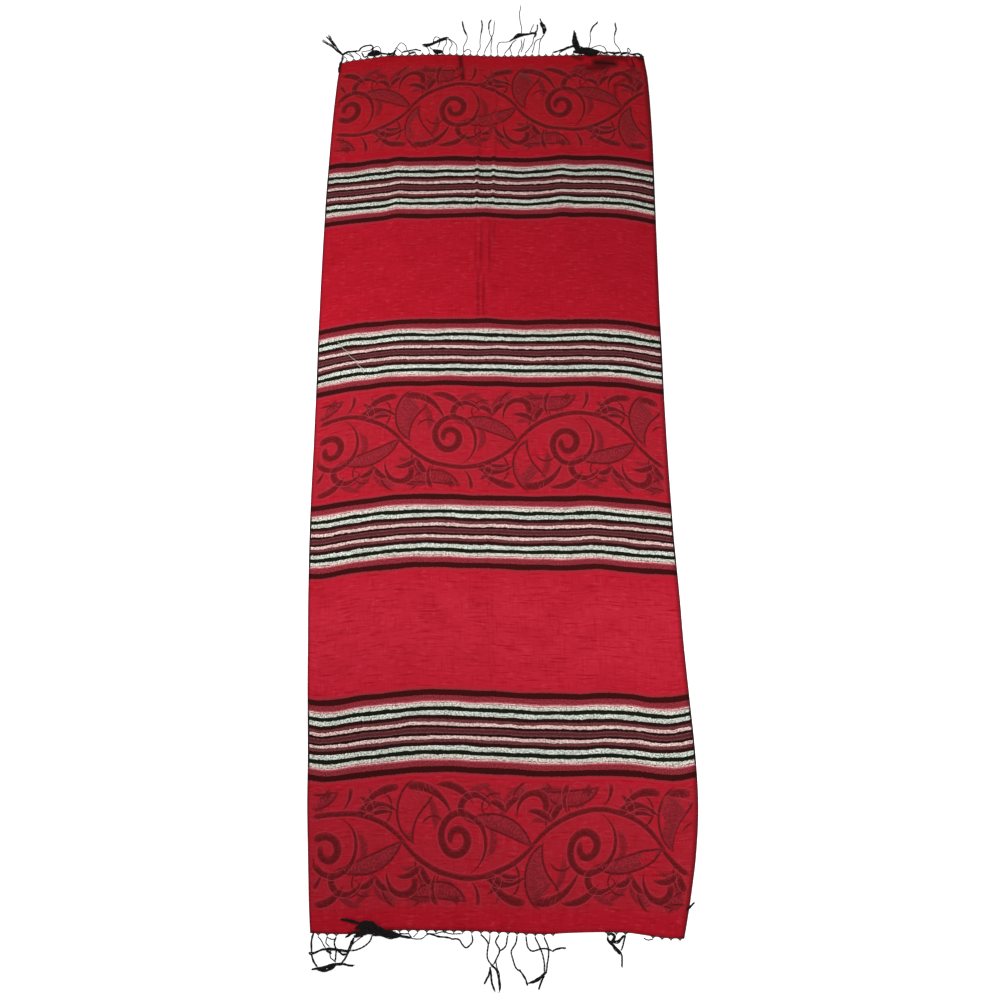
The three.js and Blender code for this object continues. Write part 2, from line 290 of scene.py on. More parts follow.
class Nodes:
    """A material's node tree, built by small calls that return sockets."""

    def __init__(self, name):
        self.material = bpy.data.materials.new(name)
        self.material.use_nodes = True
        self.tree = self.material.node_tree
        self.tree.nodes.clear()

    def add(self, kind, inputs=(), **settings):
        node = self.tree.nodes.new(kind)
        for key, value in settings.items():
            setattr(node, key, value)
        for key, value in dict(inputs).items():
            self.feed(node.inputs[key], value)
        return node

    def feed(self, socket, value):
        if isinstance(value, bpy.types.NodeSocket):
            self.tree.links.new(value, socket)
        else:
            socket.default_value = value

    def math(self, operation, *values):
        inputs = dict(enumerate(values))
        return self.add("ShaderNodeMath", inputs, operation=operation).outputs[0]

    def times(self, a, b):
        return self.math("MULTIPLY", a, b)

    def minus(self, a, b):
        return self.math("SUBTRACT", a, b)

    def size(self, a):
        return self.math("ABSOLUTE", a)

    def mix(self, share, a, b, blend="MIX"):
        node = self.add("ShaderNodeMix", data_type="RGBA", blend_type=blend)
        self.feed(node.inputs[0], share)
        self.feed(node.inputs[6], a)
        self.feed(node.inputs[7], b)
        return node.outputs[2]

    def tint(self, base, colour, value, none, full, share, where=None):
        """A base that takes a share of a colour as a value goes from none to full."""
        amount = self.range(value, none, full, 0.0, share)
        if where is not None:
            amount = self.times(where, amount)
        return self.mix(amount, base, colour)

    def uv(self, name):
        """The two numbers of a UV map."""
        at = self.add("ShaderNodeUVMap", uv_map=name).outputs[0]
        apart = self.add("ShaderNodeSeparateXYZ", {0: at})
        return apart.outputs[0], apart.outputs[1]

    def noise(self, place, across_scale, along_scale, z=0.0, detail=2.0):
        """Noise over a pair of numbers, each with a scale of its own."""
        x = self.times(place[0], across_scale)
        y = self.times(place[1], along_scale)
        at = self.add("ShaderNodeCombineXYZ", {0: x, 1: y, 2: z}).outputs[0]
        inputs = {"Vector": at, "Scale": 1.0, "Detail": detail}
        return self.add("ShaderNodeTexNoise", inputs).outputs[0]

    def range(self, value, low, high, to_low=0.0, to_high=1.0):
        inputs = {0: value, 1: low, 2: high, 3: to_low, 4: to_high}
        return self.add("ShaderNodeMapRange", inputs, clamp=True).outputs[0]

    def steps(self, value, stops):
        """A colour that changes at once at each stop."""
        node = self.add("ShaderNodeValToRGB", {0: value})
        ramp = node.color_ramp
        ramp.interpolation = "CONSTANT"
        while len(ramp.elements) > 1:
            ramp.elements.remove(ramp.elements[-1])
        ramp.elements[0].position, ramp.elements[0].color = stops[0]
        for position, colour in stops[1:]:
            ramp.elements.new(position).color = colour
        return node.outputs[0]

    def grey(self, value):
        return self.add("ShaderNodeCombineColor", {0: value, 1: value, 2: value}).outputs[0]

    def figured(self, along):
        """1 inside the three figured bands and 0 outside them."""
        aside = [self.size(self.minus(along, s * MM)) for s, _ in FIGURE_ROWS]
        inside = [self.range(a, *FIGURED_FADE) for a in aside]
        return self.math("MAXIMUM", self.math("MAXIMUM", inside[0], inside[1]), inside[2])

    def streak(self, across, along, ends, width):
        """1 on a straight line over the cloth, fading to 0 half a width away from it."""
        u0, s0, u1, s1 = ends
        start = ((u0 - 0.5) * FLAT_WIDTH * MM, s0 * MM)
        way = ((u1 - u0) * FLAT_WIDTH * MM, (s1 - s0) * MM)
        run = math.hypot(*way)
        x = self.minus(across, start[0])
        y = self.minus(along, start[1])
        done = self.math("MULTIPLY_ADD", x, way[0] / run, self.times(y, way[1] / run))
        done = self.math("MINIMUM", self.math("MAXIMUM", done, 0.0), run)
        aside = self.minus(x, self.times(done, way[0] / run))
        past = self.minus(y, self.times(done, way[1] / run))
        apart = self.math("MULTIPLY_ADD", aside, aside, self.times(past, past))
        return self.range(self.math("SQRT", apart), width / 2 * MM, 0.0)

    def far_end_shade(self, colour, along):
        """Painted shade: a red that is deeper towards the far end."""
        far = self.range(along, 0.58, 0.72)
        tint = self.mix(far, (1, 1, 1, 1), (1.1, 0.82, 0.75, 1))
        return self.mix(1.0, colour, tint, "MULTIPLY")

    def bump(self, height, distance, strength):
        inputs = {"Height": height, "Distance": distance, "Strength": strength}
        return self.add("ShaderNodeBump", inputs).outputs[0]

    def finished(self, shader):
        """The material, once a shader completes it."""
        out = self.add("ShaderNodeOutputMaterial")
        self.tree.links.new(shader.outputs[0], out.inputs[0])
        return self.material

    def cloth(self, colour, roughness, normal, sheen, sheen_tint=(1, 1, 1, 1)):
        """The material of a thread or a weave."""
        inputs = {"Base Color": colour, "Roughness": roughness, "Normal": normal}
        shader = self.add("ShaderNodeBsdfPrincipled", inputs)
        shader.inputs["Sheen Weight"].default_value = sheen
        shader.inputs["Sheen Roughness"].default_value = 0.5
        shader.inputs["Sheen Tint"].default_value = sheen_tint
        shader.inputs["Specular IOR Level"].default_value = 0.12
        return self.finished(shader)


def rgb(red, green, blue):
    """A colour given as the eye's 0 to 255 values, as the renderer's linear ones."""
    return tuple((c / 255) ** 2.2 for c in (red, green, blue)) + (1.0,)


# ---- the woven cloth

BAND_CENTRES = (188.25, 567.75)  # s of the striped bands, on both sides of the middle
BANDS = (567.75, 188.25, -188.25, -567.75)
BAND_HALF = 79.0
# One half of a band, from its middle outwards: width, colour and raised yarn of each stripe.
STRIPES = (
    (1.9, rgb(84, 38, 40), None),
    (2.7, rgb(106, 56, 60), None),
    (4.0, rgb(34, 8, 8), None),
    (6.6, rgb(46, 18, 20), "blush"),
    (5.0, rgb(106, 55, 58), None),
    (6.4, rgb(42, 13, 12), None),
    (8.6, rgb(30, 28, 24), "pale"),
    (6.8, rgb(14, 26, 13), None),
    (7.2, rgb(60, 50, 46), "cream"),
    (2.6, rgb(150, 84, 90), "rose"),
    (1.6, rgb(176, 88, 96), None),
    (9.3, rgb(136, 44, 54), None),
    (10.5, rgb(60, 9, 8), None),
    (2.4, rgb(141, 42, 52), None),
    (3.4, rgb(162, 36, 49), None),
)
BOUCLE_YARNS = {  # each raised yarn's colour and that of its flecks
    "blush": (rgb(240, 213, 204), rgb(158, 102, 104)),
    "pale": (rgb(230, 235, 222), rgb(106, 110, 102)),
    "cream": (rgb(234, 228, 215), rgb(118, 107, 100)),
    "rose": (rgb(244, 198, 194), rgb(184, 106, 110)),
}
FLECKED = 0.8  # how much of the flecks' colour a raised yarn takes
RED = rgb(166, 19, 38)
RED_DEEP = rgb(148, 5, 22)
RED_LIGHT = rgb(194, 56, 74)
# painted light: a paler red over the plain stretch around s = -380
RED_PAINTED_LIGHT = rgb(200, 54, 76)
RED_FIGURED = rgb(156, 33, 46)  # where the figure's yarns lie behind the ground
# painted shade along the grooves and in the hollows near the far end
CREASE_SHADE = rgb(30, 0, 2)
# the selvedges' dark threads, and painted shade where the cloth's edges round away
SELVEDGE_AND_EDGE_SHADE = rgb(30, 6, 14)
LEFT_SELVEDGE_AND_SHADE = 0.0055  # how far the left selvedge's dark threads and painted shade reach in, in metres
RIGHT_SELVEDGE_AND_SHADE = (0.010, 0.016)  # and the right one's, mostly painted shade where the edge rounds away, before the far end and at it
FIGURED_FADE = (0.114, 0.098)  # metres from a figured band's middle where its red sets in
BAND_SHADE = 0.93  # the stripes' even shade at a band's border, where their specks fade
WEFT_PITCH, WARP_PITCH = 0.0011, 0.0012


def stripe_stops():
    """The stops of a stepped ramp over one half of a band."""
    stops, at = [], 0.0
    for width, colour, _ in STRIPES:
        stops.append((at / BAND_HALF, colour))
        at += width * BAND_HALF / sum(row[0] for row in STRIPES)
    stops.append((1.0, RED))
    return stops


def cloth_material():
    """Red plain weave with slubs, the flat stripes of the bands, and painted light and shade."""
    n = Nodes("woven_cloth")
    place = across, along = n.uv("flat")
    fray = n.noise(place, 420.0, 200.0)
    wander = n.noise(place, 30.0, 18.0)
    shift = n.math("MULTIPLY_ADD", n.minus(fray, 0.5), 0.0034, along)
    shift = n.math("MULTIPLY_ADD", n.minus(wander, 0.5), 0.001, shift)
    from_middle = n.size(shift)
    from_band = [n.size(n.minus(from_middle, c * MM)) for c in BAND_CENTRES]
    nearest = n.math("MINIMUM", *from_band)
    stripes = n.steps(n.math("DIVIDE", nearest, BAND_HALF * MM), stripe_stops())
    in_band = n.math("LESS_THAN", nearest, BAND_HALF * MM)

    slub = n.noise(place, 20.0, 290.0, detail=3.0)
    fleck = n.noise(place, 64.0, 240.0, 7.0)
    warp = n.noise(place, 250.0, 26.0, 3.0)
    cloud = n.noise(place, 16.0, 22.0, 9.0, 4.0)
    patch = n.noise(place, 34.0, 48.0, 12.0, 1.0)
    shown = n.range(patch, 0.36, 0.58, 0.3, 1.0)
    figured = n.times(n.figured(along), n.range(cloud, 0.3, 0.62, 0.35, 1.0))
    # Painted light: a paler red around s = -380
    from_painted_light = n.size(n.math("ADD", along, 0.38))
    red = n.tint(RED, RED_PAINTED_LIGHT, from_painted_light, 0.17, 0.05, 0.26)
    red = n.mix(figured, red, RED_FIGURED)
    red = n.tint(red, RED_DEEP, slub, 0.53, 0.66, 0.9, shown)
    red = n.tint(red, RED_LIGHT, fleck, 0.55, 0.74, 0.5, shown)
    red = n.tint(red, RED_DEEP, fleck, 0.42, 0.26, 0.8, shown)
    red = n.tint(red, RED_DEEP, warp, 0.54, 0.76, 0.5)
    red = n.tint(red, RED_LIGHT, warp, 0.34, 0.2, 0.35)
    red = n.tint(red, RED_DEEP, cloud, 0.42, 0.7, 0.3)
    # Painted shade towards the far end
    red = n.far_end_shade(red, along)
    # Painted shade streaked along the grooves and in the hollows near the far end
    shades = [((u, s0, u, s1), width, share) for u, s0, s1, width, share in GROOVES]
    shades += [(ends, width, share) for *ends, width, share in END_PAINTED_SHADES]
    for ends, width, share in shades:
        painted_shade = n.times(n.streak(across, along, ends, width), share)
        red = n.mix(painted_shade, red, CREASE_SHADE)

    speck = n.noise(place, 430.0, 380.0, 5.0, 1.0)
    inwards = n.range(nearest, (BAND_HALF - 1.0) * MM, (BAND_HALF - 7.0) * MM)
    shade = n.minus(n.range(speck, 0.34, 0.64, 0.45, 1.2), BAND_SHADE)
    shade = n.math("MULTIPLY_ADD", shade, inwards, BAND_SHADE)
    striped = n.mix(1.0, stripes, n.grey(shade), "MULTIPLY")
    colour = n.mix(in_band, red, striped)

    # Dark selvedge threads and painted shade where the edges round away, reaching further in on the
    # right
    right = n.math("GREATER_THAN", across, 0.0)
    reach = n.range(along, 0.5, 0.85, *RIGHT_SELVEDGE_AND_SHADE)
    reach = n.range(right, 0.0, 1.0, LEFT_SELVEDGE_AND_SHADE, reach)
    from_edge = n.minus(FLAT_WIDTH / 2 * MM, n.size(across))
    edge = n.math("DIVIDE", from_edge, reach)
    colour = n.mix(n.range(edge, 0.0, 1.0, 0.82, 0.0), colour, SELVEDGE_AND_EDGE_SHADE)

    weft = n.math("SINE", n.times(along, math.tau / WEFT_PITCH))
    warp_wave = n.math("SINE", n.times(across, math.tau / WARP_PITCH))
    weave = n.times(weft, warp_wave)
    nub = n.times(n.times(inwards, n.minus(speck, 0.5)), 2.0)
    height = n.math("ADD", n.math("MULTIPLY_ADD", slub, 1.6, nub), n.times(weave, 0.22))
    normal = n.bump(height, 0.0005, 0.7)
    return n.cloth(colour, 0.85, normal, sheen=0.06, sheen_tint=rgb(255, 120, 120))


GRID, GRID_ROWS = 8.0, 241
END_ROWS = 33  # the rows under the short folds at the far end
FINE_LINES = 12  # the lines over each narrow ridge or groove
RIM = [0, 0.4, 1.0, 2.0, 4.5]  # how far in from a selvedge the grid has lines


def grid_places():
    """Places across and along the cloth where its visible grid has lines, in mm of flat cloth."""
    across = list(np.arange(GRID, FLAT_WIDTH - GRID / 2, GRID))
    lines = [(row[0], row[3]) for row in (*RIDGES, *GROOVES) if row[3] < NARROW]
    for middle, width in lines:
        reach = width / 2 + 1
        across = [a for a in across if abs(a - middle * FLAT_WIDTH) > reach]
        across += list(middle * FLAT_WIDTH + np.linspace(-reach, reach, FINE_LINES))
    across += RIM + [FLAT_WIDTH - a for a in RIM]
    across = np.unique(np.round(across, 3))
    keep = np.append(True, np.diff(across) > 0.3)
    along = np.linspace(-HALF_LENGTH, HALF_LENGTH, GRID_ROWS)
    finer = np.linspace(780, HALF_LENGTH, END_ROWS)
    return across[keep], np.unique(np.round(np.append(along, finer), 3))


CLOTH_WALL = 1.0


def wall_at(across, along):
    """Thickness of the visible cloth: rounded off at the selvedges, a little fuller beside them."""
    edge = np.minimum(across, FLAT_WIDTH - across)
    end = HALF_LENGTH - np.abs(along)
    rounded = np.sqrt(1 - (1 - np.clip(edge, 0, 1)) ** 2) * 0.7 + 0.3
    bead = 0.35 * np.exp(-(((edge - 2.0) / 1.6) ** 2))
    ended = 0.45 + 0.55 * smoothstep(end, 0, 3)
    return CLOTH_WALL * (rounded + bead) * ended


def make_cloth():
    """The visible cloth, a thin closed shell over its grid."""
    across, along = grid_places()
    a, s = np.meshgrid(across, along)
    columns, rows = len(across), len(along)
    u = a / FLAT_WIDTH
    top = lie(u, s)
    under = top.copy()
    top[..., 2] += wall_at(a, s) * MM
    vertices = np.concatenate([top.reshape(-1, 3), under.reshape(-1, 3)])
    half = rows * columns

    def at(i, j, layer=0):
        return layer * half + i * columns + j

    faces = []
    for i in range(rows - 1):
        for j in range(columns - 1):
            faces.append((at(i, j), at(i, j + 1), at(i + 1, j + 1), at(i + 1, j)))
            faces.append((at(i, j, 1), at(i + 1, j, 1), at(i + 1, j + 1, 1), at(i, j + 1, 1)))
        faces.append((at(i, 0, 1), at(i, 0), at(i + 1, 0), at(i + 1, 0, 1)))
        last = columns - 1
        faces.append((at(i, last), at(i, last, 1), at(i + 1, last, 1), at(i + 1, last)))
    for j in range(columns - 1):
        faces.append((at(0, j, 1), at(0, j + 1, 1), at(0, j + 1), at(0, j)))
        last = rows - 1
        faces.append((at(last, j), at(last, j + 1), at(last, j + 1, 1), at(last, j, 1)))
    cloth = mesh_object("shawl_cloth", vertices, faces)
    flat = flat_map(a, s).reshape(-1, 2)
    set_uv(cloth, "flat", np.concatenate([flat, flat]))
    share = np.stack([u * 0.86, (s + HALF_LENGTH) / FLAT_LENGTH], -1).reshape(-1, 2)
    below = share * (0.12 / 0.86, 1) + (0.88, 0)
    set_uv(cloth, "OFBake", np.concatenate([share, below]))
    cloth.data.uv_layers["flat"].active_render = True
    return dress(cloth, [cloth_material()], "cloth")


# ---- raised boucle stripes

NUB_PITCH = 1.75
STRIPE_END = 3.4  # how far in from the selvedges the raised stripes end
# Across a raised stripe: place in half widths, and height in mm over the woven ground.
SECTION = (-1, -0.4), (-0.86, 0.18), (-0.45, 0.5), (0, 0.58), (0.45, 0.5), (0.86, 0.18), (1, -0.4)
RIB_DRIFT = 0.26  # how far a rib wanders
EDGE_WAVE, EDGE_FRAY = 0.36, 0.3  # how far its edges do, over some nubs and at each of them


def boucle_material(name, colour, fleck_colour, fleck_share):
    n = Nodes(name)
    place = n.uv("flat")
    loop = n.noise(place, 520.0, 480.0, 2.0, 1.0)
    fleck = n.noise(place, 330.0, 400.0, 6.0, 1.0)
    cloud = n.noise(place, 22.0, 60.0, 4.0, 1.0)
    body = n.tint(colour, fleck_colour, fleck, 0.46, 0.6, fleck_share)
    body = n.tint(body, fleck_colour, cloud, 0.4, 0.7, 0.25)
    shade = n.range(loop, 0.32, 0.58, 0.5, 1.0)
    body = n.mix(1.0, body, n.grey(shade), "MULTIPLY")
    return n.cloth(body, 0.85, n.bump(loop, 0.0006, 0.7), sheen=0.05)


def raised_stripes():
    """Offset from the band's middle, width and yarn of each stripe that stands proud."""
    stripes, at = [], 0.0
    scale = BAND_HALF / sum(row[0] for row in STRIPES)
    for width, _, yarn in STRIPES:
        if yarn:
            stripes += [(side * (at + width / 2) * scale, width * scale, yarn) for side in (1, -1)]
        at += width
    return stripes


def make_boucle(number, centre, materials):
    """The raised stripes of one band, as nubby ribs with uneven edges."""
    rng = np.random.default_rng(40 + number)
    steps = int((FLAT_WIDTH - 2 * STRIPE_END) / NUB_PITCH)
    across = np.linspace(STRIPE_END, FLAT_WIDTH - STRIPE_END, steps + 1)
    place, rise = np.array(SECTION).T
    at = np.arange(steps + 1)
    ribs, yarns = Swept(), []
    for offset, width, yarn in raised_stripes():
        loose = min(1, width / 6)
        drift = np.interp(at, at[::6], rng.normal(0, RIB_DRIFT * loose, len(at[::6])))
        edge = [np.interp(at, at[::2], rng.normal(0, EDGE_WAVE, len(at[::2]))) for _ in "ab"]
        edge = np.stack(edge, 1)
        edge = (edge + rng.normal(0, EDGE_FRAY, edge.shape)) * loose
        wander = np.where(place < 0, edge[:, :1], edge[:, 1:]) * np.abs(place) + drift[:, None]
        s = centre + offset + place * width / 2 + wander
        nub = 0.55 + 0.45 * (at % 2) + rng.uniform(-0.25, 0.25, steps + 1)
        height = np.where(rise < 0, rise, rise * nub[:, None])
        a = np.broadcast_to(across[:, None], s.shape)
        ring = lie(a / FLAT_WIDTH, s)
        ring[..., 2] += (CLOTH_WALL + height) * MM
        ribs.add(ring, flat=flat_map(a, s))
        yarns += [list(BOUCLE_YARNS).index(yarn)] * (steps * len(place) + 2)
    piece = ribs.piece(f"boucle_band_{number}", materials, "pale_thread")
    piece.data.polygons.foreach_set("material_index", yarns)
    return piece


# ---- figured bands

CELL = FLAT_WIDTH / 3
FIGURE_ROWS = ((766, -1), (0, 1), (-757, 1))  # s of the middle, and which way up
FIGURE_SHIFT = -62.0
FIGURE_STRETCH = 1.1  # along the warp
FIGURE_HALF = 108.0  # half of a figured band's length
FIGURE_STEP = 3.0  # between the points of a stroke
FIGURE_MARGIN = 5.0  # to the selvedges
LAYER, LAYERS = 0.003, 0.09  # how much higher each next stroke lies, so that none coincide
SUNK = -0.4  # the height of a stroke's feet over the ground
CREASE_LIFT = 0.5  # how much higher a stroke rides where it bends over a narrow ridge
SOFT_END = 12.0  # how far from a stroke's end it starts to fade
TAPERS = {  # powers of the way from the start and to the end, which shape a stroke's width
    "leaf": (0.8, 0.9),
    "horn": (0.35, 1.1),
    "club": (0.9, 0.22),
    "stem": (0.12, 0.12),
    "drop": (0.5, 1.0),
    "thread": (0.2, 0.6),
    "even": (0.05, 0.05),
}
STROKES = (  # kind, x, y, heading, length, turn, how late the turn comes, width, taper
    ("dark", -3, -3, 50, 274, -100, 0, 9, "stem"),
    ("body", 60, -86, 178, 122, -128, 0, 52, "drop"),
    ("body", 232, 2, 222, 128, -52, 0, 32, "leaf"),
    ("body", 118, 88, 214, 108, -62, 0, 30, "leaf"),
    ("body", 196, -62, 300, 84, 84, 0, 24, "leaf"),
    ("mid", 14, 80, 24, 84, -96, 0, 16, "leaf"),
    ("mid", 140, -88, 18, 74, 74, 0, 14, "leaf"),
    ("mid", 88, 52, 104, 40, -50, 0, 13, "leaf"),
    ("mid", 56, -18, 286, 56, -60, 0, 15, "leaf"),
    ("mid", 110, -62, 306, 60, 50, 0, 14, "leaf"),
    ("mid", 150, 20, 330, 58, -120, 0, 14, "leaf"),
    ("dark", 112, 50, -14, 322, -650, 0.42, 14, "club"),
    ("dark", 205, -36, 258, 100, 236, 0.35, 12, "club"),
    ("dark", 160, -50, 246, 96, -250, 0.4, 12, "club"),
    ("dark", 64, 44, 128, 116, -290, 0.45, 12, "club"),
    ("dark", 122, 56, 30, 108, 262, 0.35, 12, "club"),
    ("dark", 150, 46, 40, 86, -84, 0, 14, "horn"),
    ("dark", 60, -86, 350, 76, 66, 0, 13, "leaf"),
    ("dark", 8, -84, 350, 104, 84, 0, 15, "horn"),
    ("dark", 226, 84, 172, 84, 70, 0, 14, "horn"),
    ("dark", 24, 24, 104, 96, -330, 0.5, 4.2, "thread"),
    ("dark", 196, 26, 30, 100, 330, 0.5, 4.2, "thread"),
    ("dark", 108, -52, -76, 86, 300, 0.5, 4.2, "thread"),
    ("dark", 34, -26, -60, 72, 280, 0.4, 4, "thread"),
    ("dark", 176, -74, 200, 80, -320, 0.5, 4, "thread"),
    ("dark", 84, 78, 20, 84, 300, 0.5, 4, "thread"),
)
SPRAYS = (  # x, y, middle heading, spread, leaves, length, width
    (184, -46, 262, 46, 3, 50, 10),
    (34, 34, 116, 62, 4, 52, 11),
    (176, 44, 62, 50, 3, 50, 10),
)
FIGURE_HEIGHT = {"body": 0.14, "mid": 0.2, "dark": 0.26, "line": 0.36}


def across_of(points):
    """The direction across a line at each of its points."""
    ahead = unit(np.gradient(points, axis=0))
    return np.stack([-ahead[:, 1], ahead[:, 0]], 1)


def stroke_path(x, y, heading, length, turn, late):
    """Way along a curling stroke, and its points."""
    way = np.linspace(0, 1, max(8, int(length / FIGURE_STEP)))
    head = np.radians(heading + turn * ((1 - late) * way + late * way**4))
    between = (head[1:] + head[:-1]) / 2
    step = length / (len(way) - 1)
    px = x + step * np.append(0, np.cumsum(np.cos(between)))
    py = y + step * np.append(0, np.cumsum(np.sin(between)))
    return way, np.stack([px, py * FIGURE_STRETCH], 1)


def tapered(way, width, taper):
    start, end = TAPERS[taper]
    widest = start / (start + end)
    most = widest**start * (1 - widest) ** end
    way = np.clip(way, 1e-4, 1 - 1e-4)
    return width * way**start * (1 - way) ** end / most


def cell_strokes():
    """Every stroke of one cell: its kind, points, directions across and widths."""
    rows = list(STROKES)
    for x, y, middle, spread, leaves, length, width in SPRAYS:
        for i in range(leaves):
            aside = i / (leaves - 1) - 0.5
            turn = 70 if aside >= 0 else -70
            kind = "mid" if i % 2 else "dark"
            short = length * (1 - 0.8 * aside * aside)
            rows.append((kind, x, y, middle + aside * spread, short, turn, 0, width, "leaf"))
    strokes = []
    for kind, x, y, heading, length, turn, late, width, taper in rows:
        way, points = stroke_path(x, y, heading, length, turn, late)
        across = across_of(points)
        wide = tapered(way, width, taper)
        strokes.append((kind, points, across, wide))
        if kind == "body":
            for side in (1, -1):
                rim = points + across * (side * np.maximum(wide / 2 - 1.8, 0))[:, None]
                strokes.append(("dark", rim, across, tapered(way, 4.6, "even")))
            strokes += hatching(points, across, wide)
        elif width >= 9 and kind == "dark":
            kept = slice(int(0.12 * len(way)), int(0.9 * len(way)))
            for side in (1, -1):
                line = points + across * (side * (wide / 2 + 2.0))[:, None]
                strokes.append(("line", line[kept], across[kept], tapered(way, 1.8, "even")[kept]))
    return strokes


def hatching(points, across, wide):
    """Short uneven strokes over a body, between its rims."""
    strokes = []
    share = np.linspace(-1, 1, 6)
    for j in range(3, len(points) - 5, 2):
        half = wide[j] * (0.2 + 0.07 * math.sin(2.4 * j))
        if half < 2.2:
            continue
        middle = points[j] + across[j] * (0.1 * wide[j] * math.sin(1.7 * j))
        ahead = (points[j + 2] - points[j]) * 0.6
        line = middle + ahead * (1 - share[:, None] ** 2) + across[j] * (share * half)[:, None]
        strokes.append(("line", line, across_of(line), tapered(share / 2 + 0.5, 1.7, "leaf")))
    return strokes


def make_figures():
    """The ornament of the three figured bands, woven a little proud of the ground."""
    shapes = {kind: Swept() for kind in FIGURE_HEIGHT}
    strokes = cell_strokes()
    for centre, up in FIGURE_ROWS:
        for cell in range(-1, 4):
            flip = 1 if cell % 2 == 0 else -1
            laid = dict.fromkeys(shapes, LAYER / 2 * (cell % 2))
            for kind, points, across, wide in strokes:
                laid[kind] = (laid[kind] + LAYER) % LAYERS
                x = points[:, 0] + cell * CELL + FIGURE_SHIFT
                side = FIGURE_MARGIN + wide / 2
                inside = (x > side) & (x < FLAT_WIDTH - side)
                inside &= np.abs(points[:, 1]) < FIGURE_HALF - wide / 2
                for run in np.split(np.arange(len(x)), np.flatnonzero(np.diff(inside)) + 1):
                    if len(run) > 2 and inside[run[0]]:
                        middle = np.stack([x[run], points[run, 1] * flip], 1)
                        sideways = across[run] * (1, flip)
                        height = FIGURE_HEIGHT[kind] + laid[kind]
                        width = cut_off(wide, run)
                        add_ribbon(shapes[kind], middle, sideways, width, height, centre, up)
    return [
        shape.piece(f"figure_{kind}", [figure_material(f"figure_{kind}", kind)], "figure_weave")
        for kind, shape in shapes.items()
    ]


def on_crease(u, s):
    """How much of a narrow ridge lies under a point, from 0 to 1."""
    share = np.zeros_like(u)
    for ridge_u, s0, s1, width, *_ in RIDGES:
        if width < NARROW:
            share = np.maximum(share, crest(s, (u - ridge_u) * FLAT_WIDTH, s0, s1, width))
    return share


def cut_off(wide, run):
    """Widths of one run of a stroke, brought to a point where the band's edge cuts it off."""
    at = np.arange(len(run))
    width = wide[run]
    slope = max(1.5, 0.35 * wide.max())
    if run[0] > 0:
        width = np.minimum(width, 0.8 + slope * at)
    if run[-1] < len(wide) - 1:
        width = np.minimum(width, 0.8 + slope * at[::-1])
    return width


def add_ribbon(shape, middle, sideways, wide, height, centre, up):
    """A low ribbon over one run of a stroke, on the figured band whose middle is centre."""
    bevel = np.minimum(0.35, wide / 4)
    rim = wide / 2 - bevel
    half = np.stack([-wide / 2, -rim, rim, wide / 2], 1)
    rise = np.array([SUNK, height, height, SUNK])
    place = middle[:, None] + sideways[:, None] * half[..., None]
    s = centre + up * place[..., 1]
    u = place[..., 0] / FLAT_WIDTH
    rings = lie(u, s, CLOTH_WALL + rise + CREASE_LIFT * on_crease(u, s))
    at = np.arange(len(middle))
    from_end = np.minimum(at, at[::-1]) * FIGURE_STEP / SOFT_END
    inner = bevel / wide
    side = np.stack([np.zeros_like(inner), inner, 1 - inner, np.ones_like(inner)], 1)
    full = np.repeat(np.minimum(from_end, 1)[:, None], 4, axis=1)
    ahead = middle[1] - middle[0]
    turned = (ahead[0] * sideways[0, 1] - ahead[1] * sideways[0, 0]) * up < 0
    shape.add(rings, turned, flat=flat_map(place[..., 0], s), stroke=np.stack([side, full], -1))


FIGURE_COLOURS = {  # colour, the colour that shows between its yarns, and how much of it
    "body": (rgb(112, 27, 35), rgb(152, 36, 48), 0.75),
    "mid": (rgb(112, 23, 32), rgb(150, 32, 44), 0.6),
    "dark": (rgb(84, 17, 20), rgb(132, 28, 38), 0.5),
    "line": (rgb(150, 48, 60), rgb(160, 36, 48), 0.5),
}


def figure_material(name, kind):
    """A figure's weave, which fades into the ground towards a stroke's edges and ends."""
    n = Nodes(name)
    colour, between, share = FIGURE_COLOURS[kind]
    place = across, along = n.uv("flat")
    side, full = n.uv("stroke")
    slub = n.noise(place, 60.0, 620.0, 2.0, 2.0)
    mottle = n.noise(place, 240.0, 260.0, 5.0, 1.0)
    body = n.tint(colour, between, slub, 0.46, 0.7, share)
    body = n.tint(body, between, mottle, 0.5, 0.72, share)
    aside = n.times(n.size(n.minus(side, 0.5)), 2.0)
    aside = n.math("MULTIPLY_ADD", n.minus(mottle, 0.5), 0.5, aside)
    faded = n.math("MAXIMUM", n.range(aside, 0.45, 1.0), n.range(full, 0.8, 0.0))
    body = n.far_end_shade(n.mix(n.times(faded, 0.7), body, between), along)
    normal = n.bump(n.math("ADD", slub, mottle), 0.0005, 0.6)
    return n.cloth(body, 0.85, normal, sheen=0.05)


# ---- fringes

YARN_STEP = 1.6
YARN_SIDES = 5
ROOT_PITCH = 15.6
FAN_HALF = 6.6  # half of the width that one root draws together
FAN_ENDS, FAN_STEPS, FAN_RADIUS = 7, 8, 0.4
SNAP_FROM, SNAP_TO, SNAP_ASIDE = -7, 9, 8  # how near an end has to be to a root, out and aside
SWAY = 0.5  # how far a thread wanders to its sides
HOP = (0.1, 1.3)  # how high a thread's middle may lift
SLACK = (0.55, 1.15)  # how far out the yarns of a thick thread may stand, as a share
MISSING = (0.1, 0.16)  # how much of its start and of its end such a yarn may lack
NEAR_BARE = ((-250, -170), (112, 196), (240, 268))  # x where the near end has no roots
# What each kind of thread is twisted from: yarns, how far they stand from its middle, the radius
# of each, and how the whole swells along its length.
THREADS = {
    "strand": (3, 0.62, 0.5, "even"),
    "ply": (4, 0.95, 0.6, "even"),
    "cord": (5, 1.25, 0.7, "even"),
    "rope": (7, 2.2, 0.75, "swollen"),
    "braid": (7, 1.9, 0.75, "even"),
    "lump": (16, 4.6, 0.9, "swollen"),
    "tuft": (7, 3.0, 0.6, "flared"),
}
